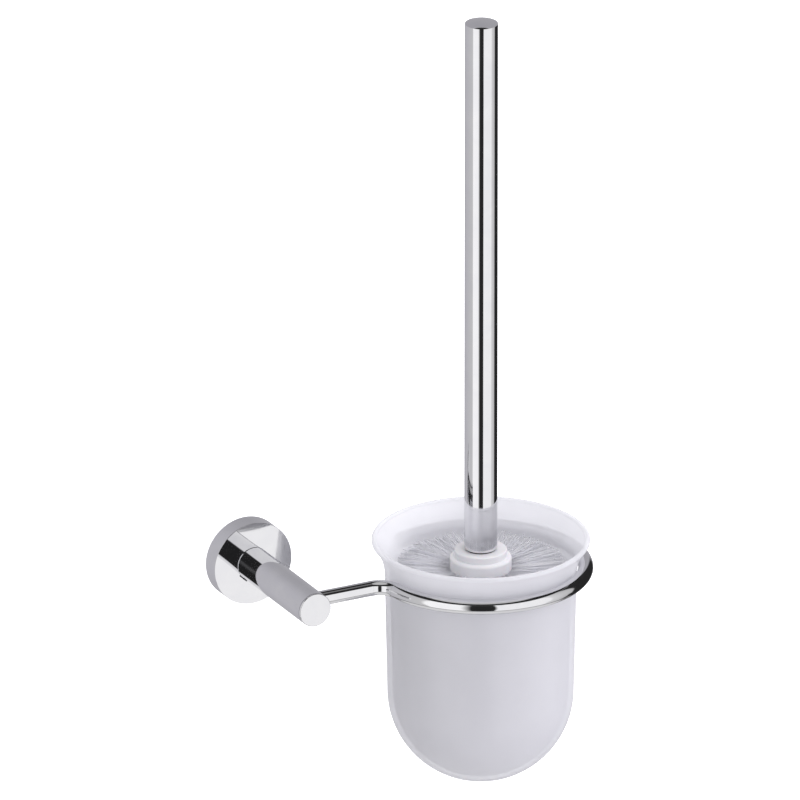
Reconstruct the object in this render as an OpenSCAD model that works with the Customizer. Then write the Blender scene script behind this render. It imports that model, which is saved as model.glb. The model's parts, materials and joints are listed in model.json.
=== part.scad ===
// Wall-mounted toilet brush holder. A round rosette hides the wall plate, a post stands out
// from it, and a rod bent into an open ring carries a frosted glass cup with the brush in it.
// Origin: centre of the wall face. The wall is the plane Y = 0, the post points along -Y,
// the rod runs along +X and +Z is up. Sizes are in millimetres.

/* [Wall fixing] */
// Diameter of the rosette that hides the wall plate
rosette_d = 41.6; // [41:0.2:60]
// Distance from the wall to the face of the rosette
rosette_depth = 10; // [9:0.5:16]
// Thickness of the rosette's sheet
rosette_wall = 1.2; // [0.8:0.1:1.4]
// Thickness of the wall plate
plate_t = 3; // [2.5:0.5:4]
// Distance between the two wall screw holes
screw_spacing = 25; // [24:0.5:26]
// Diameter of a wall screw hole
screw_hole_d = 4.5; // [4:0.1:5]

/* [Post] */
// Outer diameter of the post
post_d = 16.8; // [15:0.2:18]
// Length of the post in front of the rosette
post_len = 65.6; // [64:0.2:90]
// Wall thickness of the post's tube
post_wall = 1.5; // [1:0.1:1.6]
// Diameter of the boss on the wall plate that the post slides over
boss_d = 10; // [9:0.5:10]

/* [Rod and ring] */
// Diameter of the bent rod
rod_d = 7.4; // [6:0.1:7.4]
// Distance from the rod's axis to the tip of the post
rod_to_tip = 12.25; // [11.5:0.25:13]
// Distance from the post's axis to the middle of the ring
ring_x = 95.8; // [90:0.2:120]
// Part of a full turn that the open ring covers, in degrees
ring_arc = 284; // [240:1:290]
// Bend radius where the arm turns into the ring, at the middle of the rod
bend_r = 10; // [6:0.5:16]
// Gap between the ring and the glass inside it
ring_gap = 0.6; // [0.5:0.1:1]

/* [Glass cup] */
// Outer diameter of the cup at its neck
cup_neck_d = 92.8; // [91:0.2:96]
// Outer diameter of the flared rim
cup_rim_d = 105.6; // [102:0.2:108]
// Outer diameter of the round bottom
cup_bowl_d = 90.2; // [88:0.2:91]
// Total height of the cup
cup_h = 124.3; // [110:0.1:140]
// Height of the flare from the neck to the rim
flare_h = 16.8; // [14:0.2:16.8]
// Height of the rim above the middle of the ring
rim_above_ring = 15.4; // [15.4:0.1:17]
// Thickness of the glass
glass_t = 2.6; // [2:0.1:3]

/* [Brush] */
// Diameter of the handle
handle_d = 16; // [14:0.5:18]
// Height of the handle's top above the rim of the cup
handle_above_rim = 267; // [200:0.1:320]
// Depth of the handle's lower end below the rim of the cup
handle_below_rim = 5.1; // [3:0.1:6]
// Wall thickness of the handle's tube
handle_wall = 1; // [0.8:0.1:1.2]
// Diameter of the collar under the handle
collar_d = 25.4; // [22:0.2:27]
// Height of the collar
collar_h = 3.5; // [3:0.1:6]
// Diameter of the core's shoulder under the collar
shoulder_d = 30; // [29:0.2:32]
// Diameter of the core that the bristles stand in
core_d = 24; // [20:1:26]
// Diameter over the bristles
bristle_d = 80; // [72:1:82]

/* [Hidden] */
// Number of facets on round shapes
round_fn = 128;
// Overshoot of a cut past the face that it opens
cut = 1;
// Play of a screw in its threaded hole, on the radius
thread_play = 0.05;

// Wall fixing
plate_edge_gap = 1.3;
wall_plate_r = rosette_d / 2 - rosette_wall - plate_edge_gap;
countersink_d = 8.6;
edge_round = 0.7;
// The rosette's face falls a little from the post to its edge
rosette_fall = 0.35;
rosette_hole_play = 0.2;

// Post
post_r = post_d / 2;
post_bore_r = post_r - post_wall;
post_tip = rosette_depth + post_len;
cap_t = 1;
cap_round = 0.5;
spigot_h = 1.5;
spigot_wall = 1.5;
post_chamfer = 0.4;
boss_len = 23;
socket_len = 20;
// The grub screw sits in the lower side of the post, turned from straight down away from the rod
grub_angle = 40;
grub_r = 1.25;
grub_out = rosette_depth + 1.8;
grub_proud = 0.5;
grub_tip_h = 0.5;
grub_tip_play = 0.25;
grub_hex_d = 1.5;
grub_hex_depth = 1.2;
groove_depth = 1;
groove_half = 2;
// A fine groove shows between the post's tube and its cap
seam_w = 0.2;
block_len = 16;
block_play = 0.1;
lock_screw_r = 2.5;
lock_screw_len = 3;
lock_hex_d = 2.9;
lock_hex_depth = 1.6;
rod_end = 3.5;

// Rod and ring
rod_r = rod_d / 2;
rod_chamfer = 0.8;
reach = post_tip - rod_to_tip;
ring_r = cup_neck_d / 2 + ring_gap + rod_r;
// The bend is a circle that touches the arm's axis and the ring's circle
bend_x = ring_x - sqrt(pow(ring_r + bend_r, 2) - pow(bend_r, 2));
bend_angle = asin(bend_r / (ring_r + bend_r));
// The rod swells a little in its tight bend
bend_swell = 0.03;
bend_overlap = 0.2;

// Cup, measured from the rim downwards
rim_r = cup_rim_d / 2;
neck_r = cup_neck_d / 2;
bowl_r = cup_bowl_d / 2;
bowl_z = bowl_r - cup_h;
rim_round = glass_t / 2;
flare_power = 2;
flare_steps = 12;
// The glass widens by a hair where it rests on the ring
seat_w = 0.3;
seat_h = 2.4;

// Brush, measured from the rim downwards
handle_r = handle_d / 2;
handle_bottom = -handle_below_rim;
handle_cap_t = 2.6;
handle_cap_round = 1.2;
handle_dome_r = 34;
handle_spigot_h = 6;
insert_len = 24;
stud_r = 4;
stud_up = 16;
stud_down = 14;
washer_t = 0.8;
washer_d = 14.6;
washer_play = 0.2;
collar_play = 0.1;
collar_round = 0.6;
collar_top = handle_bottom - washer_t;
core_top = collar_top - collar_h;
shoulder_round = 1.5;
shoulder_h = 12;
bristle_top = core_top - 6.2;
bristle_rise = 2.4;
bristle_bottom_gap = 0.7;
bristle_r = bristle_d / 2;
bristle_z = -cup_h + glass_t + bristle_bottom_gap + bristle_r;
core_end_z = bristle_z - 10;

// Turns a shape built up along +Z so that it stands out from the wall along -Y
module out_of_wall() {
    rotate([90, 0, 0]) children();
}

// Moves a shape built round the Z axis to the axis of the cup, with its zero at the rim
module on_cup_axis() {
    translate([ring_x, -reach, rim_above_ring]) children();
}

// A round bar along Z from z0 to z1
module bar(r, z0, z1) {
    translate([0, 0, z0]) cylinder(h = z1 - z0, r = r, $fn = round_fn);
}

// A hole along Z from z0 to z1
module bore(r, z0, z1) {
    bar(r, z0 - cut, z1 + cut);
}

// Half outline of a disc from z0 to z1 whose upper edge is rounded
module rounded_disc_outline(r, z0, z1, edge) {
    translate([0, z0]) square([r, z1 - z0 - edge]);
    translate([0, z0]) square([r - edge, z1 - z0]);
    translate([r - edge, z1 - edge]) circle(r = edge, $fn = round_fn);
}

// A disc from z0 to z1 whose upper edge is rounded
module rounded_disc(r, z0, z1, edge) {
    rotate_extrude($fn = round_fn) rounded_disc_outline(r, z0, z1, edge);
}

// A hexagon socket in a screw's end, cut downwards from z
module hex_socket(z, across, depth) {
    translate([0, 0, z - depth]) cylinder(h = depth + cut, d = across, $fn = 6);
}

// Steel disc screwed to the wall, with two countersunk holes above and below the boss
module wall_plate() {
    color("lightsteelblue") out_of_wall() difference() {
        bar(wall_plate_r, 0, plate_t);
        for (side = [-1, 1]) translate([0, side * screw_spacing / 2, 0]) {
            bore(screw_hole_d / 2, 0, plate_t);
            translate([0, 0, plate_t - (countersink_d - screw_hole_d) / 2])
                cylinder(
                    h = (countersink_d - screw_hole_d) / 2,
                    d1 = screw_hole_d, d2 = countersink_d, $fn = round_fn
                );
        }
    }
}

// Turned boss welded on the wall plate, with a groove that the grub screw presses into
module wall_boss() {
    color("goldenrod") out_of_wall() difference() {
        bar(boss_d / 2, plate_t, plate_t + boss_len);
        difference() {
            bar(boss_d / 2 + cut, grub_out - groove_half, grub_out + groove_half);
            bar(boss_d / 2 - groove_depth, 0, plate_t + boss_len);
        }
    }
}

// Chromed cover that hides the plate, held between the wall and the foot of the post
module rosette() {
    color("silver") out_of_wall() difference() {
        rotate_extrude($fn = round_fn) intersection() {
            rounded_disc_outline(rosette_d / 2, 0, rosette_depth, edge_round);
            polygon([
                [0, 0], [rosette_d / 2, 0], [rosette_d / 2, rosette_depth - rosette_fall],
                [post_r, rosette_depth], [0, rosette_depth]
            ]);
        }
        bore(rosette_d / 2 - rosette_wall, 0, rosette_depth - rosette_wall - cut);
        bore(boss_d / 2 + rosette_hole_play, 0, rosette_depth);
    }
}

// A bar across the post at the grub screw, from z0 to z1 outwards from the post's axis
module grub_bar(r, z0, z1) {
    translate([0, 0, grub_out]) rotate([90, 0, -grub_angle]) bar(r, z0, z1);
}

// Chromed tube that stands out from the rosette
module post_tube() {
    color("silver") out_of_wall() difference() {
        union() {
            translate([0, 0, rosette_depth])
                cylinder(
                    h = post_chamfer, r1 = post_r - post_chamfer, r2 = post_r, $fn = round_fn
                );
            bar(post_r, rosette_depth + post_chamfer, post_tip - cap_t - seam_w);
        }
        bore(post_bore_r, rosette_depth, post_tip);
        grub_bar(grub_r + thread_play, 0, post_d);
        translate([0, 0, reach]) rotate([0, 90, 0]) bar(rod_r + thread_play, 0, post_d);
    }
}

// Insert in the foot of the post that fits over the boss and holds the grub screw
module post_socket() {
    color("goldenrod") out_of_wall() difference() {
        bar(post_bore_r, rosette_depth, rosette_depth + socket_len);
        bore(boss_d / 2 + thread_play, rosette_depth, rosette_depth + socket_len);
        grub_bar(grub_r + thread_play, 0, post_d);
    }
}

// Grub screw in the foot of the post that clamps it to the boss
module grub_screw() {
    screw_start = boss_d / 2 - groove_depth + grub_tip_play;
    screw_end = post_r + grub_proud;
    color("dimgray") out_of_wall() difference() {
        union() {
            translate([0, 0, grub_out]) rotate([90, 0, -grub_angle]) translate([0, 0, screw_start])
                cylinder(h = grub_tip_h, r1 = grub_r - grub_tip_h, r2 = grub_r, $fn = round_fn);
            grub_bar(grub_r, screw_start + grub_tip_h, screw_end);
        }
        translate([0, 0, grub_out]) rotate([90, 0, -grub_angle])
            hex_socket(screw_end, grub_hex_d, grub_hex_depth);
    }
}

// Plug in the tip of the post, drilled across for the rod and lengthwise for its lock screw
module rod_block() {
    block_end = post_tip - cap_t - spigot_h - block_play;
    color("goldenrod") out_of_wall() difference() {
        bar(post_bore_r, block_end - block_len, block_end);
        translate([0, 0, reach]) rotate([0, 90, 0])
            bar(rod_r + thread_play, -rod_end - block_play, post_d);
        bar(lock_screw_r + thread_play, reach, block_end + cut);
    }
}

// Set screw behind the post's cap that locks the rod in its plug
module rod_lock_screw() {
    screw_start = reach + rod_r + thread_play;
    screw_end = screw_start + lock_screw_len;
    color("dimgray") out_of_wall() difference() {
        bar(lock_screw_r, screw_start, screw_end);
        hex_socket(screw_end, lock_hex_d, lock_hex_depth);
    }
}

// Chromed cap on the tip of the post, with a hollow spigot inside the tube
module post_cap() {
    color("gainsboro") out_of_wall() {
        rounded_disc(post_r, post_tip - cap_t, post_tip, cap_round);
        difference() {
            bar(post_bore_r, post_tip - cap_t - spigot_h, post_tip - cap_t);
            bar(post_bore_r - spigot_wall, post_tip - cap_t - spigot_h - cut, post_tip - cap_t);
        }
    }
}

// A stretch of bent rod of radius bar_r: part of a ring of radius r from the angle start
module rod_arc(r, bar_r, start, sweep) {
    rotate([0, 0, start]) rotate_extrude(angle = sweep, $fn = round_fn)
        translate([r, 0]) circle(r = bar_r, $fn = round_fn);
}

// What is cut away to chamfer the end of a rod that ends at z = 0
module rod_end_cut() {
    difference() {
        bar(rod_r + 2 * cut, -rod_chamfer - cut, cut);
        translate([0, 0, -rod_chamfer - cut])
            cylinder(
                h = rod_chamfer + 3 * cut, r1 = rod_r + cut, r2 = rod_r - rod_chamfer - 2 * cut,
                $fn = round_fn
            );
    }
}

// One chromed rod: a straight arm from the post, a tight bend and the open ring
module ring_rod() {
    ring_start = 180 + bend_angle;
    ring_overlap = bend_overlap / ring_r * 180 / PI;
    color("silver") translate([0, -reach, 0]) {
        rotate([0, 90, 0]) bar(rod_r, -rod_end, bend_x + bend_overlap);
        translate([bend_x, -bend_r, 0])
            rod_arc(bend_r, rod_r + bend_swell, bend_angle, 90 - bend_angle);
        translate([ring_x, 0, 0]) difference() {
            rod_arc(ring_r, rod_r, ring_start - ring_overlap, ring_arc + ring_overlap);
            rotate([0, 0, ring_start + ring_arc]) translate([ring_r, 0, 0]) rotate([-90, 0, 0])
                rod_end_cut();
        }
    }
}

// Radius of the flare at height z, from the neck at -flare_h to the rim at -rim_round
function flare_r(z) =
    neck_r + seat_w * min(1, (z + flare_h) / seat_h)
    + (rim_r - neck_r - seat_w) * pow((z + flare_h) / (flare_h - rim_round), flare_power);

// Half outline of the cup's body, with every radius reduced by inset and the flare up to top
module cup_outline(inset, top) {
    curve = [
        for (i = [0:flare_steps])
            let (z = -flare_h + i * (flare_h + top) / flare_steps) [flare_r(z) - inset, z]
    ];
    polygon(concat([[0, bowl_z], [bowl_r - inset, bowl_z]], curve, [[0, top]]));
    intersection() {
        translate([0, bowl_z]) circle(r = bowl_r - inset, $fn = round_fn);
        translate([0, -cup_h - cut]) square([bowl_r, cup_h]);
    }
}

// Frosted glass cup with a flared rim and a round bottom
module glass_cup() {
    color("white", 0.6) on_cup_axis() rotate_extrude($fn = round_fn) {
        difference() {
            cup_outline(0, -rim_round);
            cup_outline(glass_t, -rim_round);
        }
        translate([flare_r(-rim_round) - rim_round, -rim_round])
            circle(r = rim_round, $fn = round_fn);
    }
}

// Half outline of the core: a wide shoulder, a slimmer shank and a round end
module core_outline() {
    rounded_disc_outline(shoulder_d / 2, core_top - shoulder_h, core_top, shoulder_round);
    translate([0, core_end_z]) square([core_d / 2, core_top - shoulder_h - core_end_z]);
    intersection() {
        translate([0, core_end_z]) circle(d = core_d, $fn = round_fn);
        translate([0, core_end_z - core_d]) square([core_d, core_d]);
    }
}

// Plastic core of the brush head, with the stud moulded into it
module head_core() {
    color("white") on_cup_axis() difference() {
        rotate_extrude($fn = round_fn) core_outline();
        bar(stud_r, core_top - stud_down, core_top + cut);
    }
}

// Threaded stud that joins the brush head to the handle
module head_stud() {
    color("silver") on_cup_axis() bar(stud_r, core_top - stud_down, handle_bottom + stud_up);
}

// Plastic collar between the core and the handle
module head_collar() {
    color("whitesmoke") on_cup_axis() difference() {
        rounded_disc(collar_d / 2, core_top, collar_top, collar_round);
        bore(stud_r + collar_play, core_top, collar_top);
    }
}

// Tufts round the side of the head, as one soft solid
module side_bristles() {
    color("ghostwhite") on_cup_axis() rotate_extrude($fn = round_fn) difference() {
        polygon([
            [0, bristle_z], [bristle_r, bristle_z],
            [bristle_r, bristle_top + bristle_rise], [shoulder_d / 2, bristle_top], [0, bristle_top]
        ]);
        core_outline();
    }
}

// Tufts round the end of the head, as one soft solid
module end_bristles() {
    color("ghostwhite") on_cup_axis() rotate_extrude($fn = round_fn) difference() {
        intersection() {
            translate([0, bristle_z]) circle(r = bristle_r, $fn = round_fn);
            translate([0, bristle_z - bristle_d]) square([bristle_d, bristle_d]);
        }
        core_outline();
    }
}

// Rubber washer that keeps water out of the handle
module seal_washer() {
    color("dimgray") on_cup_axis() difference() {
        bar(washer_d / 2, collar_top, handle_bottom);
        bore(stud_r + washer_play, collar_top, handle_bottom);
    }
}

// Long chromed tube of the handle
module handle_tube() {
    tube_top = handle_above_rim - handle_cap_t;
    color("silver") on_cup_axis() difference() {
        bar(handle_r, handle_bottom, tube_top);
        bore(handle_r - handle_wall, handle_bottom, tube_top);
    }
}

// Threaded insert in the lower end of the handle
module handle_insert() {
    color("goldenrod") on_cup_axis() difference() {
        bar(handle_r - handle_wall, handle_bottom, handle_bottom + insert_len);
        bar(stud_r + thread_play, handle_bottom - cut, handle_bottom + stud_up + cut);
    }
}

// Chromed cap on the handle's upper end, with a spigot inside the tube
module handle_cap() {
    tube_top = handle_above_rim - handle_cap_t;
    color("gainsboro") on_cup_axis() {
        rotate_extrude($fn = round_fn) intersection() {
            rounded_disc_outline(handle_r, tube_top, handle_above_rim, handle_cap_round);
            translate([0, handle_above_rim - handle_dome_r])
                circle(r = handle_dome_r, $fn = round_fn);
        }
        bar(handle_r - handle_wall, tube_top - handle_spigot_h, tube_top);
    }
}

wall_plate();
wall_boss();
rosette();
post_tube();
post_socket();
grub_screw();
rod_block();
rod_lock_screw();
post_cap();
ring_rod();
glass_cup();
head_core();
head_stud();
head_collar();
side_bristles();
end_bristles();
seal_washer();
handle_tube();
handle_insert();
handle_cap();
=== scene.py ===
"""Looks of the wall-mounted toilet brush holder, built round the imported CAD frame.

Lengths are in metres, in the row frame: the wall is the plane Y = 0, the post stands out along
-Y, the rod's arm runs along +X and +Z is up.
"""

import json
import math

import bpy
import numpy as np
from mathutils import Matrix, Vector


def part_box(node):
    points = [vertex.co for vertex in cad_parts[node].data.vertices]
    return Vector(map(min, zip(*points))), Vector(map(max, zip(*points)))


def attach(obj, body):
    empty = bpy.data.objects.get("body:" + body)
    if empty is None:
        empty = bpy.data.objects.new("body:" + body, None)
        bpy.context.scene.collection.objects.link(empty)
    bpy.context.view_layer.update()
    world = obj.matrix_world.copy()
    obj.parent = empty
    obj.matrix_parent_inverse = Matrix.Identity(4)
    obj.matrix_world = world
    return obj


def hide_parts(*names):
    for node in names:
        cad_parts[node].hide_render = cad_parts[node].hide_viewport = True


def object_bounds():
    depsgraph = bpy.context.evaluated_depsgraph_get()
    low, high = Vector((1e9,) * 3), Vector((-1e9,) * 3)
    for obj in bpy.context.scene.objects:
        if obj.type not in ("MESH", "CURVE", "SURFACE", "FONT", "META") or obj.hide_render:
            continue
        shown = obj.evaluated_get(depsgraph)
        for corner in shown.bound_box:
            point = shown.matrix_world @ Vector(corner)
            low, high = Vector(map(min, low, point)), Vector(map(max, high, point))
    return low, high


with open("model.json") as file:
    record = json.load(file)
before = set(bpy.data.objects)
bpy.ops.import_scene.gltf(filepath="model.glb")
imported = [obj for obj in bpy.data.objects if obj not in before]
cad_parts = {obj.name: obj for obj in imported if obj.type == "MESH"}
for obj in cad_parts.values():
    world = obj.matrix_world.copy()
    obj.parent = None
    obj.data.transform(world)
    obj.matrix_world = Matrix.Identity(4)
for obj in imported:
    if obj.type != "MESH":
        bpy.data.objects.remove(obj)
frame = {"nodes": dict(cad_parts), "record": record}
cad_low, cad_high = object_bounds()

MM = 0.001

# Camera
CAMERA_AZIMUTH = -27.3
CAMERA_ELEVATION = 22.3
CAMERA_DISTANCE = 12.0
VIEW_WIDTH = 0.3846
VIEW_CENTRE = (0.0582, -0.0513, 0.0895)
SENSOR_WIDTH = 36.0

# Floor, well below the cup, because the part hangs on a wall
FLOOR_DROP = 0.45
FLOOR_HALF = 30.0
FLOOR_GLOW = 0.6

# Lights, as (name, azimuth, elevation, distance, size, power)
LIGHTS = [
    ("key", 80, 15, 1.6, 0.8, 6),
    ("top", 40, 72, 1.4, 0.9, 4),
]

# The studio as the chrome sees it: upright softboxes and dark strips round the camera, given as
# (angle to the right of the camera in degrees, brightness, tint)
NEUTRAL = (1.0, 0.995, 1.0)
LAVENDER = (0.99, 0.975, 1.04)
STUDIO_WALLS = [
    (-180, 0.35, LAVENDER), (-160, 0.38, LAVENDER), (-125, 0.47, LAVENDER), (-62, 0.55, NEUTRAL),
    (-57, 0.97, NEUTRAL), (-20, 0.93, NEUTRAL), (-10, 0.02, NEUTRAL), (14, 0.02, NEUTRAL),
    (17, 0.90, NEUTRAL), (74, 0.88, NEUTRAL), (77, 0.68, NEUTRAL), (104, 0.47, NEUTRAL),
    (107, 0.02, NEUTRAL), (158, 0.02, NEUTRAL), (163, 0.36, LAVENDER), (180, 0.35, LAVENDER),
]
# What lies above and below the softboxes, as (height in degrees, brightness, share)
STUDIO_CEILING = [
    (-90, 0.70, 1.0), (-50, 0.62, 1.0), (-46, 0.15, 1.0), (-44, 0.15, 1.0), (-41, 0.7, 0.0),
    (41, 0.7, 0.0), (44, 0.02, 1.0), (63, 0.02, 1.0), (68, 0.50, 1.0), (90, 0.50, 1.0),
]
# The softboxes are this much brighter than the values above, to make up for what the plating
# takes away
STUDIO_GAIN = 1.32
# The soft light that shades the matt pieces, from the left of the camera to its right
SOFT_LEFT = 0.64
SOFT_RIGHT = 1.38

# Shares of the light that the glass spreads as a glow and lets straight through
GLASS_MILK = 0.35
GLASS_CLEAR = 0.30

# Filaments, and the share of the light that spreads through them as a glow
FILAMENT_R = 0.21 * MM
FILAMENT_SIDES = 4
FILAMENT_RINGS = 4
FILAMENT_BOW = 0.6 * MM
FILAMENT_GLOW = 0.6

# The core's radius under its wider shoulder, and the shoulder's height
CORE_R = 12 * MM
SHOULDER_HEIGHT = 12 * MM

# Tufts: how many go round the head, the fan of all of a row's tufts together and the scatter
# of the roots round the head, both in radians
TUFTS_ROUND = 26
TUFT_FAN = 1.9
ROOT_TURN_SCATTER = 0.03

# Rows of tufts round the side of the head; the top rows are denser and rise a little
SIDE_SEED = 11
SIDE_ROWS = 14
DENSE_ROWS = 2
DENSE_TUFTS = 44
RISING_ROWS = 3
ROW_RISE = 1.6 * MM
SIDE_TUFT_FILAMENTS = 12
SIDE_TUFT_HEIGHT = 1.5 * MM
TUFT_TURN_SCATTER = 0.02
TOP_ROOTS_DOWN = 7.2 * MM
BOTTOM_ROOTS_UP = 1.0 * MM
SIDE_ROOT_DEPTH = 0.5 * MM
SIDE_ROOT_SCATTER = 0.5 * MM
SIDE_TRIM_SCATTER = 0.5 * MM
SIDE_TIP_OUT = 1.0 * MM
SIDE_TIP_UP = 0.4 * MM

# Rings of tufts round the rounded end of the head
END_SEED = 12
END_RINGS = 8
END_TUFT_FILAMENTS = 13
END_TUFT_FALL = 0.045
END_TUFTS_LEAST = 3
END_ROOT_DEPTH = 0.3 * MM
END_TRIM = 0.3 * MM
END_TRIM_SCATTER = 0.4 * MM
END_TIP_OUT = 0.2 * MM

# The dense bed of the tufts, which reaches out to this share of the head's radius
BED_SEED = 13
BED_SHARE = 0.86
BED_RIDGES = 260
BED_GROOVE = 0.03
BED_TOP_DOWN = 7.4 * MM
BED_TOP_INSET = 0.5 * MM
BED_SHOULDER_SHARE = 0.75
BED_SHOULDER_FALL = 0.4 * MM
BED_EDGE_FALL = 2.0 * MM
BED_DOME_STEPS = 10


def camera_axes():
    """The camera's horizontal direction to the viewer, its right, its up and its back."""
    a = math.radians(CAMERA_AZIMUTH)
    e = math.radians(CAMERA_ELEVATION)
    level = Vector((math.sin(a), -math.cos(a), 0))
    right = Vector((math.cos(a), math.sin(a), 0))
    back = level * math.cos(e) + Vector((0, 0, math.sin(e)))
    return level, right, back.cross(right), back


class Nodes:
    """A short way to add and join nodes in one node tree."""

    def __init__(self, tree):
        self.tree = tree
        tree.nodes.clear()

    def add(self, kind, settings=None, **inputs):
        """A node of that kind; inputs are values or other nodes' sockets, by socket name."""
        made = self.tree.nodes.new(kind)
        for name, value in (settings or {}).items():
            setattr(made, name, value)
        for name, value in inputs.items():
            self.join(made.inputs[name.replace("_", " ")], value)
        return made

    def join(self, socket, value):
        """Links a socket to another, or sets its value."""
        if isinstance(value, bpy.types.NodeSocket):
            self.tree.links.new(value, socket)
        else:
            socket.default_value = value

    def math(self, operation, *values):
        """The result of a Math node."""
        made = self.add("ShaderNodeMath", {"operation": operation})
        for socket, value in zip(made.inputs, values):
            self.join(socket, value)
        return made.outputs[0]

    def dot(self, vector, direction):
        """The dot product of a vector socket and a fixed direction."""
        made = self.add("ShaderNodeVectorMath", {"operation": "DOT_PRODUCT"})
        self.join(made.inputs[0], vector)
        made.inputs[1].default_value = direction
        return made.outputs["Value"]

    def ramp(self, factor, stops):
        """A colour ramp; stops are (position, grey or RGB, alpha)."""
        made = self.add("ShaderNodeValToRGB")
        band = made.color_ramp
        while len(band.elements) < len(stops):
            band.elements.new(1.0)
        for element, (position, colour, *alpha) in zip(band.elements, stops):
            element.position = position
            rgb = colour if isinstance(colour, tuple) else (colour,) * 3
            element.color = (*rgb, alpha[0] if alpha else 1.0)
        self.join(made.inputs[0], factor)
        return made

    def mix(self, factor, a, b):
        """A colour mix."""
        made = self.add("ShaderNodeMix", {"data_type": "RGBA"})
        self.join(made.inputs["Factor"], factor)
        self.join(made.inputs[6], a)
        self.join(made.inputs[7], b)
        return made.outputs[2]

    def mix_shaders(self, factor, a, b):
        """A mix of two shader nodes."""
        made = self.add("ShaderNodeMixShader")
        made.inputs["Fac"].default_value = factor
        self.join(made.inputs[1], a.outputs[0])
        self.join(made.inputs[2], b.outputs[0])
        return made


def tinted(value, tint):
    """A brightness as a colour of that tint."""
    return tuple(value * t for t in tint)


def height_position(degrees):
    """Place of a height above the horizon on a ramp that runs from straight down to up."""
    return 0.5 + 0.5 * math.sin(math.radians(degrees))


def studio_world():
    """White to the camera, softboxes and dark strips to gloss, and soft light to the rest."""
    world = bpy.data.worlds.new("studio")
    bpy.context.scene.world = world
    world.use_nodes = True
    n = Nodes(world.node_tree)
    level, right, _, _ = camera_axes()
    direction = n.add("ShaderNodeTexCoord").outputs["Generated"]
    to_right = n.dot(direction, right)
    angle = n.math("ARCTAN2", to_right, n.dot(direction, level))
    turn = n.math("MULTIPLY_ADD", angle, 1 / math.tau, 0.5)
    walls = n.ramp(
        turn, [(0.5 + a / 360, tinted(v * STUDIO_GAIN, t)) for a, v, t in STUDIO_WALLS]
    )
    height = n.math("MULTIPLY_ADD", n.dot(direction, (0, 0, 1)), 0.5, 0.5)
    ceiling = n.ramp(
        height,
        [(height_position(e), tinted(v * STUDIO_GAIN, NEUTRAL), share)
         for e, v, share in STUDIO_CEILING],
    )
    gloss = n.mix(ceiling.outputs["Alpha"], walls.outputs["Color"], ceiling.outputs["Color"])
    side = n.math("MULTIPLY_ADD", to_right, 0.5, 0.5)
    soft = n.ramp(side, [(0.0, tinted(SOFT_LEFT, NEUTRAL)), (1.0, tinted(SOFT_RIGHT, LAVENDER))])
    path = n.add("ShaderNodeLightPath")
    through = n.mix(path.outputs["Is Transmission Ray"], soft.outputs["Color"], (1, 1, 1, 1))
    lit = n.mix(path.outputs["Is Glossy Ray"], through, gloss)
    seen = n.mix(path.outputs["Is Camera Ray"], lit, (1.0, 1.0, 1.0, 1.0))
    sky = n.add("ShaderNodeBackground", Color=seen)
    n.add("ShaderNodeOutputWorld", Surface=sky.outputs[0])


def area_light(name, azimuth, elevation, distance, size, power):
    """A square soft light that looks at the middle of the view; azimuth is as the camera's."""
    a = math.radians(azimuth)
    e = math.radians(elevation)
    away = Vector((math.sin(a) * math.cos(e), -math.cos(a) * math.cos(e), math.sin(e)))
    light = bpy.data.lights.new(name, "AREA")
    light.size = size
    light.energy = power
    holder = bpy.data.objects.new(name, light)
    holder.location = Vector(VIEW_CENTRE) + away * distance
    holder.rotation_euler = away.to_track_quat("Z", "Y").to_euler()
    holder.visible_glossy = False
    bpy.context.scene.collection.objects.link(holder)


def camera():
    """A long lens at the photograph's angle."""
    _, _, _, back = camera_axes()
    data = bpy.data.cameras.new("camera")
    data.sensor_width = SENSOR_WIDTH
    data.lens = SENSOR_WIDTH * CAMERA_DISTANCE / VIEW_WIDTH
    data.clip_start = 0.1
    data.clip_end = 200.0
    holder = bpy.data.objects.new("camera", data)
    holder.location = Vector(VIEW_CENTRE) + back * CAMERA_DISTANCE
    holder.rotation_mode = "QUATERNION"
    holder.rotation_quaternion = back.to_track_quat("Z", "Y")
    bpy.context.scene.collection.objects.link(holder)
    bpy.context.scene.camera = holder


def new_material(name):
    made = bpy.data.materials.new(name)
    made.use_nodes = True
    return made, Nodes(made.node_tree)


def noise(n, scale, detail=2.0, distortion=0.0):
    """Noise in the piece's own space; scale is in cycles per metre."""
    place = n.add("ShaderNodeTexCoord").outputs["Object"]
    made = n.add("ShaderNodeTexNoise", Vector=place, Scale=scale, Detail=detail)
    made.inputs["Distortion"].default_value = distortion
    return made.outputs["Fac"]


def bump(n, height, strength, distance):
    return n.add(
        "ShaderNodeBump", Height=height, Strength=strength, Distance=distance
    ).outputs["Normal"]


def finish_material(n, shader):
    n.add("ShaderNodeOutputMaterial", Surface=shader.outputs[0])


def chrome():
    """Polished plating with faint smears and a very slight waviness."""
    made, n = new_material("chrome")
    smears = noise(n, 60, 4, 1.5)
    colour = n.ramp(smears, [(0.3, (0.68, 0.68, 0.70)), (0.7, (0.72, 0.72, 0.73))])
    rough = n.ramp(smears, [(0.35, 0.03), (0.75, 0.075)])
    shader = n.add(
        "ShaderNodeBsdfPrincipled",
        Base_Color=colour.outputs[0], Metallic=1.0, Roughness=rough.outputs[0],
        Normal=bump(n, noise(n, 90, 1), 0.06, 0.0002),
    )
    finish_material(n, shader)
    return made


def satin_metal(name, dark, light, low, high, scale):
    """Turned or brushed metal with fine grain."""
    made, n = new_material(name)
    grain = noise(n, scale, 5, 0.5)
    colour = n.ramp(grain, [(0.3, dark), (0.7, light)])
    rough = n.ramp(grain, [(0.3, low), (0.7, high)])
    shader = n.add(
        "ShaderNodeBsdfPrincipled",
        Base_Color=colour.outputs[0], Metallic=1.0, Roughness=rough.outputs[0],
        Normal=bump(n, grain, 0.15, 0.0001),
    )
    finish_material(n, shader)
    return made


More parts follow.
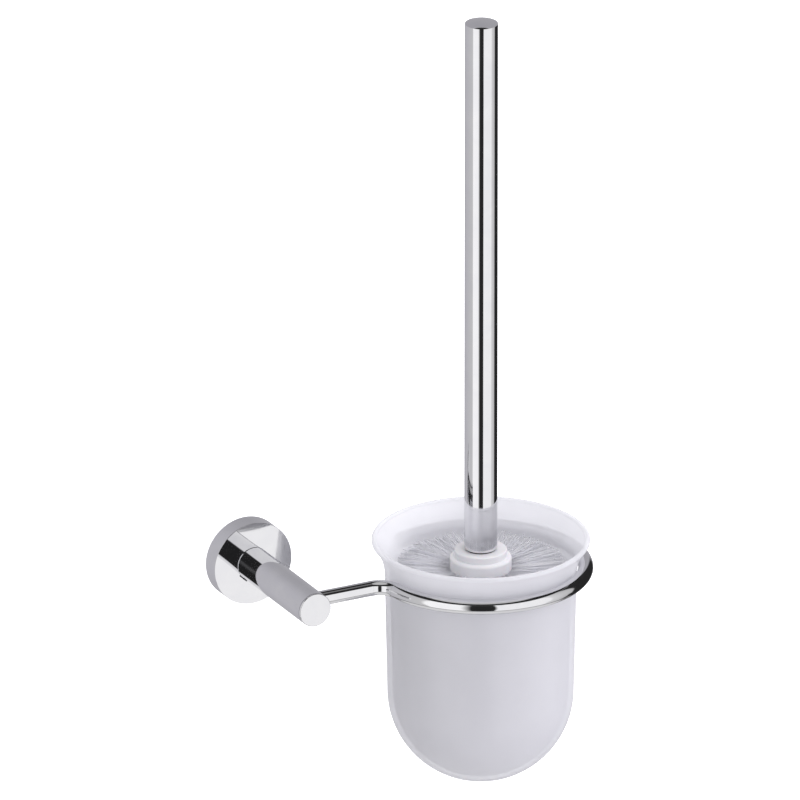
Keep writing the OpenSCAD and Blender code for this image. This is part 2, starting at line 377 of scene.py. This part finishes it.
def frosted_glass():
    """Acid-frosted glass: milky skins that spread the light and let a part straight through."""
    made, n = new_material("frosted_glass")
    grain = noise(n, 1800, 3)
    cloud = noise(n, 35, 3)
    colour = n.ramp(cloud, [(0.3, (0.93, 0.93, 0.95)), (0.7, (0.96, 0.96, 0.98))])
    rough = n.ramp(grain, [(0.3, 0.30), (0.7, 0.38)])
    skin = n.add(
        "ShaderNodeBsdfPrincipled",
        Base_Color=colour.outputs[0], Roughness=rough.outputs[0], IOR=1.46,
        Normal=bump(n, grain, 0.05, 0.00003),
    )
    skin.inputs["Coat Weight"].default_value = 0.5
    skin.inputs["Coat Roughness"].default_value = 0.1
    milk = n.add("ShaderNodeBsdfTranslucent", Color=colour.outputs[0])
    clear = n.add("ShaderNodeBsdfTransparent")
    clear.inputs["Color"].default_value = (0.98, 0.98, 1.0, 1.0)
    wall = n.mix_shaders(GLASS_MILK, skin, milk)
    finish_material(n, n.mix_shaders(GLASS_CLEAR, wall, clear))
    return made


def white_plastic():
    """Moulded white plastic, slightly soft to light."""
    made, n = new_material("white_plastic")
    grain = noise(n, 900, 3)
    cloud = noise(n, 45, 2)
    colour = n.ramp(cloud, [(0.3, (0.75, 0.745, 0.76)), (0.7, (0.80, 0.795, 0.81))])
    rough = n.ramp(grain, [(0.3, 0.30), (0.7, 0.40)])
    shader = n.add(
        "ShaderNodeBsdfPrincipled",
        Base_Color=colour.outputs[0], Roughness=rough.outputs[0],
        Normal=bump(n, grain, 0.1, 0.00005),
    )
    shader.inputs["Subsurface Weight"].default_value = 0.1
    shader.inputs["Subsurface Scale"].default_value = 0.002
    finish_material(n, shader)
    return made


def nylon():
    """White nylon filament, with a little variation from one filament to the next."""
    made, n = new_material("nylon")
    shade = n.add("ShaderNodeAttribute", {"attribute_name": "shade"}).outputs["Fac"]
    colour = n.ramp(shade, [(0.0, (0.92, 0.92, 0.95)), (1.0, (0.98, 0.98, 0.99))])
    skin = n.add("ShaderNodeBsdfPrincipled", Base_Color=colour.outputs[0], Roughness=0.38)
    glow = n.add("ShaderNodeBsdfTranslucent", Color=colour.outputs[0])
    finish_material(n, n.mix_shaders(FILAMENT_GLOW, skin, glow))
    return made


def tuft_bed_material():
    """Many filaments seen end on and side on: pale, with fine darker grains."""
    made, n = new_material("tuft_bed")
    grain = noise(n, 1400, 2)
    colour = n.ramp(grain, [(0.3, (0.91, 0.91, 0.94)), (0.7, (0.97, 0.97, 0.98))])
    shader = n.add(
        "ShaderNodeBsdfPrincipled",
        Base_Color=colour.outputs[0], Roughness=0.6, Normal=bump(n, grain, 0.3, 0.0002),
    )
    finish_material(n, shader)
    return made


def rubber():
    """Matt black rubber."""
    made, n = new_material("rubber")
    grain = noise(n, 1500, 4)
    colour = n.ramp(grain, [(0.3, (0.02, 0.02, 0.022)), (0.7, (0.05, 0.05, 0.052))])
    shader = n.add(
        "ShaderNodeBsdfPrincipled",
        Base_Color=colour.outputs[0], Roughness=0.75, Normal=bump(n, grain, 0.3, 0.0001),
    )
    finish_material(n, shader)
    return made


def floor_material():
    """Pale matt floor with a slight glow of its own."""
    made, n = new_material("floor")
    colour = n.ramp(noise(n, 3, 2), [(0.3, (0.93, 0.93, 0.93)), (0.7, (0.95, 0.95, 0.95))])
    shader = n.add("ShaderNodeBsdfPrincipled", Base_Color=colour.outputs[0], Roughness=0.9)
    shader.inputs["Emission Color"].default_value = (1, 1, 1, 1)
    shader.inputs["Emission Strength"].default_value = FLOOR_GLOW
    finish_material(n, shader)
    return made


def paint(obj, material):
    obj.data.materials.clear()
    obj.data.materials.append(material)


def new_mesh(name, points, faces, material):
    """A smooth-shaded object made of these points and faces."""
    mesh = bpy.data.meshes.new(name)
    mesh.from_pydata(points, [], faces)
    mesh.update()
    mesh.polygons.foreach_set("use_smooth", [True] * len(mesh.polygons))
    obj = bpy.data.objects.new(name, mesh)
    bpy.context.scene.collection.objects.link(obj)
    paint(obj, material)
    return obj


def floor():
    """A large pale floor that gives no light and no reflection to the part."""
    z = cad_low.z - FLOOR_DROP
    corners = [(-1, -1), (1, -1), (1, 1), (-1, 1)]
    points = [(x * FLOOR_HALF, y * FLOOR_HALF, z) for x, y in corners]
    obj = new_mesh("floor", points, [(0, 1, 2, 3)], floor_material())
    obj.visible_glossy = False
    obj.visible_transmission = False
    obj.visible_diffuse = False


class Brush:
    """Sizes of the brush head, read from the CAD nodes' boxes."""

    def __init__(self):
        core_low, core_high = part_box("head_core")
        side_low, side_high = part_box("side_bristles")
        end_low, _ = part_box("end_bristles")
        self.centre = (core_low + core_high) / 2
        self.shoulder_r = (core_high.x - core_low.x) / 2
        self.core_r = CORE_R
        self.core_top = core_high.z
        self.core_bottom = core_low.z
        self.tip_r = (side_high.x - side_low.x) / 2
        self.top = side_high.z
        self.dome_z = side_low.z
        self.bottom = end_low.z

    def around(self, radius, angle, z):
        """Points at these radii, angles and heights round the head's axis, one per row."""
        return np.stack([
            self.centre.x + radius * np.cos(angle),
            self.centre.y + radius * np.sin(angle),
            np.broadcast_to(z, np.shape(angle)),
        ], axis=1)


def filament_faces():
    """The faces of one filament: a tube of quads with its two ends closed."""
    quads = []
    for ring in range(FILAMENT_RINGS - 1):
        for k in range(FILAMENT_SIDES):
            a = ring * FILAMENT_SIDES + k
            b = ring * FILAMENT_SIDES + (k + 1) % FILAMENT_SIDES
            quads.append((a, b, b + FILAMENT_SIDES, a + FILAMENT_SIDES))
    last = (FILAMENT_RINGS - 1) * FILAMENT_SIDES
    quads.append(tuple(range(last, last + FILAMENT_SIDES)))
    quads.append(tuple(reversed(range(FILAMENT_SIDES))))
    return np.array(quads)


def filaments(name, roots, tips, draw, material):
    """One mesh of thin round filaments from each root to each tip, each with a slight bow."""
    count = len(roots)
    along = tips - roots
    along = along / np.linalg.norm(along, axis=1, keepdims=True)
    helper = np.where(np.abs(along[:, 2:3]) > 0.9, (1.0, 0.0, 0.0), (0.0, 0.0, 1.0))
    side = np.cross(along, helper)
    side /= np.linalg.norm(side, axis=1, keepdims=True)
    other = np.cross(along, side)
    bow_angle = draw.uniform(0, math.tau, (count, 1))
    bow = (side * np.cos(bow_angle) + other * np.sin(bow_angle)) * FILAMENT_BOW
    angles = np.arange(FILAMENT_SIDES) * math.tau / FILAMENT_SIDES
    points = np.empty((count, FILAMENT_RINGS, FILAMENT_SIDES, 3))
    for ring in range(FILAMENT_RINGS):
        t = ring / (FILAMENT_RINGS - 1)
        middle = roots + (tips - roots) * t + bow * (4 * t * (1 - t))
        for k, angle in enumerate(angles):
            points[:, ring, k] = middle + FILAMENT_R * (
                side * math.cos(angle) + other * math.sin(angle)
            )
    per_filament = FILAMENT_RINGS * FILAMENT_SIDES
    starts = np.arange(count)[:, None, None] * per_filament
    faces = (filament_faces()[None] + starts).reshape(-1, 4)
    obj = new_mesh(name, points.reshape(-1, 3).tolist(), faces.tolist(), material)
    shade = obj.data.attributes.new("shade", "FLOAT", "POINT")
    values = np.repeat(draw.uniform(0, 1, count), per_filament)
    shade.data.foreach_set("value", values.astype(np.float32))
    return obj


def bed_profile(brush, top_r):
    """Outline of the dense bed from its top to its lowest point, as (radius, height)."""
    wide_r = brush.tip_r * BED_SHARE
    top = brush.core_top - BED_TOP_DOWN
    profile = [
        (top_r, top),
        (wide_r * BED_SHOULDER_SHARE, top - BED_SHOULDER_FALL),
        (wide_r, top - BED_EDGE_FALL),
    ]
    for step in range(BED_DOME_STEPS + 1):
        fall = step / BED_DOME_STEPS * math.pi / 2
        profile.append((wide_r * math.cos(fall), brush.dome_z - wide_r * math.sin(fall)))
    return profile


def tuft_bed(brush, material):
    """The dense inner part of the tufts, where no gap shows between the filaments."""
    draw = np.random.default_rng(BED_SEED)
    top_r = brush.shoulder_r - BED_TOP_INSET
    profile = bed_profile(brush, top_r)
    angles = np.arange(BED_RIDGES) * math.tau / BED_RIDGES
    groove = 1.0 - BED_GROOVE * draw.uniform(0, 1, BED_RIDGES)
    rings = []
    for r, z in profile:
        reach = np.full(BED_RIDGES, r) if r <= top_r else top_r + (r - top_r) * groove
        rings.append(brush.around(reach, angles, z))
    faces = []
    for ring in range(len(profile) - 1):
        for k in range(BED_RIDGES):
            a = ring * BED_RIDGES + k
            b = ring * BED_RIDGES + (k + 1) % BED_RIDGES
            faces.append((b, a, a + BED_RIDGES, b + BED_RIDGES))
    obj = new_mesh("tuft_bed", np.concatenate(rings).tolist(), faces, material)
    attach(obj, "brush_head")


def side_tuft(brush, row, angle, tufts, draw):
    """Roots and tips of one of a row's tufts, fanned out and trimmed to the head's radius."""
    share = row / (SIDE_ROWS - 1)
    top_root = brush.core_top - TOP_ROOTS_DOWN
    bottom_root = brush.dome_z + BOTTOM_ROOTS_UP
    z = top_root + (bottom_root - top_root) * share
    on_shoulder = z > brush.core_top - SHOULDER_HEIGHT
    root_r = brush.shoulder_r if on_shoulder else brush.core_r
    rise = ROW_RISE * (1 - share) if row < RISING_ROWS else 0.0
    spread = draw.normal(0, 1, (SIDE_TUFT_FILAMENTS, 2))
    tip_angle = angle + spread[:, 0] * TUFT_FAN / tufts
    tip_z = z + rise + spread[:, 1] * SIDE_TUFT_HEIGHT
    tip_z = np.clip(tip_z, brush.dome_z, brush.top + SIDE_TIP_UP)
    tip_r = brush.tip_r + draw.normal(0, SIDE_TRIM_SCATTER, SIDE_TUFT_FILAMENTS)
    tip_r = np.minimum(tip_r, brush.tip_r + SIDE_TIP_OUT)
    root_angle = angle + draw.normal(0, ROOT_TURN_SCATTER, SIDE_TUFT_FILAMENTS)
    root_z = z + draw.normal(0, SIDE_ROOT_SCATTER, SIDE_TUFT_FILAMENTS)
    root = brush.around(root_r - SIDE_ROOT_DEPTH, root_angle, root_z)
    return root, brush.around(tip_r, tip_angle, tip_z)


def side_tufts(brush, material):
    """Rows of tufts round the core."""
    draw = np.random.default_rng(SIDE_SEED)
    roots, tips = [], []
    for row in range(SIDE_ROWS):
        tufts = DENSE_TUFTS if row < DENSE_ROWS else TUFTS_ROUND
        for k in range(tufts):
            angle = math.tau * (k + 0.5 * (row % 2)) / tufts + draw.normal(0, TUFT_TURN_SCATTER)
            root, tip = side_tuft(brush, row, angle, tufts, draw)
            roots.append(root)
            tips.append(tip)
    obj = filaments("side_tufts", np.concatenate(roots), np.concatenate(tips), draw, material)
    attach(obj, "brush_head")
    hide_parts("side_bristles")


def end_root(brush, share):
    """Radius and height of the core's surface, this share of the way to its lowest point."""
    shank = brush.dome_z - (brush.core_bottom + brush.core_r)
    run = share * (shank + brush.core_r * math.pi / 2)
    fall = max(0.0, run - shank) / brush.core_r
    radius = brush.core_r * math.cos(fall) - END_ROOT_DEPTH
    return radius, brush.dome_z - min(run, shank) - brush.core_r * math.sin(fall)


def end_tuft(brush, share, angle, tufts, draw):
    """Roots and tips of one of a ring's tufts, this share of the way to the lowest point."""
    root_r, root_z = end_root(brush, share)
    dome_r = brush.dome_z - brush.bottom
    spread = draw.normal(0, 1, (END_TUFT_FILAMENTS, 2))
    tip_angle = angle + spread[:, 0] * TUFT_FAN / tufts
    fall = np.clip(share * math.pi / 2 + spread[:, 1] * END_TUFT_FALL, 0.0, math.pi / 2)
    trim = draw.normal(0, END_TRIM_SCATTER, END_TUFT_FILAMENTS) - END_TRIM
    tip_r = dome_r + np.minimum(trim, END_TIP_OUT)
    root_angle = angle + draw.normal(0, ROOT_TURN_SCATTER, END_TUFT_FILAMENTS)
    root = brush.around(root_r, root_angle, root_z)
    tip = brush.around(tip_r * np.cos(fall), tip_angle, brush.dome_z - tip_r * np.sin(fall))
    return root, tip


def end_tufts(brush, material):
    """Tufts round the rounded end of the core, fanned out to a dome."""
    draw = np.random.default_rng(END_SEED)
    roots, tips = [], []
    for ring in range(END_RINGS):
        share = (ring + 0.5) / END_RINGS
        tufts = max(END_TUFTS_LEAST, round(TUFTS_ROUND * math.cos(share * math.pi / 2)))
        for k in range(tufts):
            angle = math.tau * (k + 0.5 * (ring % 2)) / tufts
            root, tip = end_tuft(brush, share, angle, tufts, draw)
            roots.append(root)
            tips.append(tip)
    obj = filaments("end_tufts", np.concatenate(roots), np.concatenate(tips), draw, material)
    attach(obj, "brush_head")
    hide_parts("end_bristles")


def dress_frame():
    """Gives each CAD node that stays its material, by its material slot."""
    finishes = {
        "chrome": chrome(),
        "steel": satin_metal("steel", (0.50, 0.51, 0.53), (0.66, 0.67, 0.69), 0.25, 0.4, 400),
        "dark_steel": satin_metal(
            "dark_steel", (0.05, 0.05, 0.055), (0.12, 0.12, 0.13), 0.3, 0.45, 900
        ),
        "brass": satin_metal("brass", (0.62, 0.46, 0.20), (0.78, 0.61, 0.30), 0.2, 0.35, 500),
        "frosted_glass": frosted_glass(),
        "white_plastic": white_plastic(),
        "rubber": rubber(),
    }
    for part in frame["record"]["subparts"]:
        if part["material_slot"] in finishes:
            paint(frame["nodes"][part["node"]], finishes[part["material_slot"]])


def build():
    bpy.context.scene.view_settings.view_transform = "Standard"
    camera()
    studio_world()
    for light in LIGHTS:
        area_light(*light)
    floor()
    dress_frame()
    brush = Brush()
    tuft_material = nylon()
    tuft_bed(brush, tuft_bed_material())
    side_tufts(brush, tuft_material)
    end_tufts(brush, tuft_material)


build()
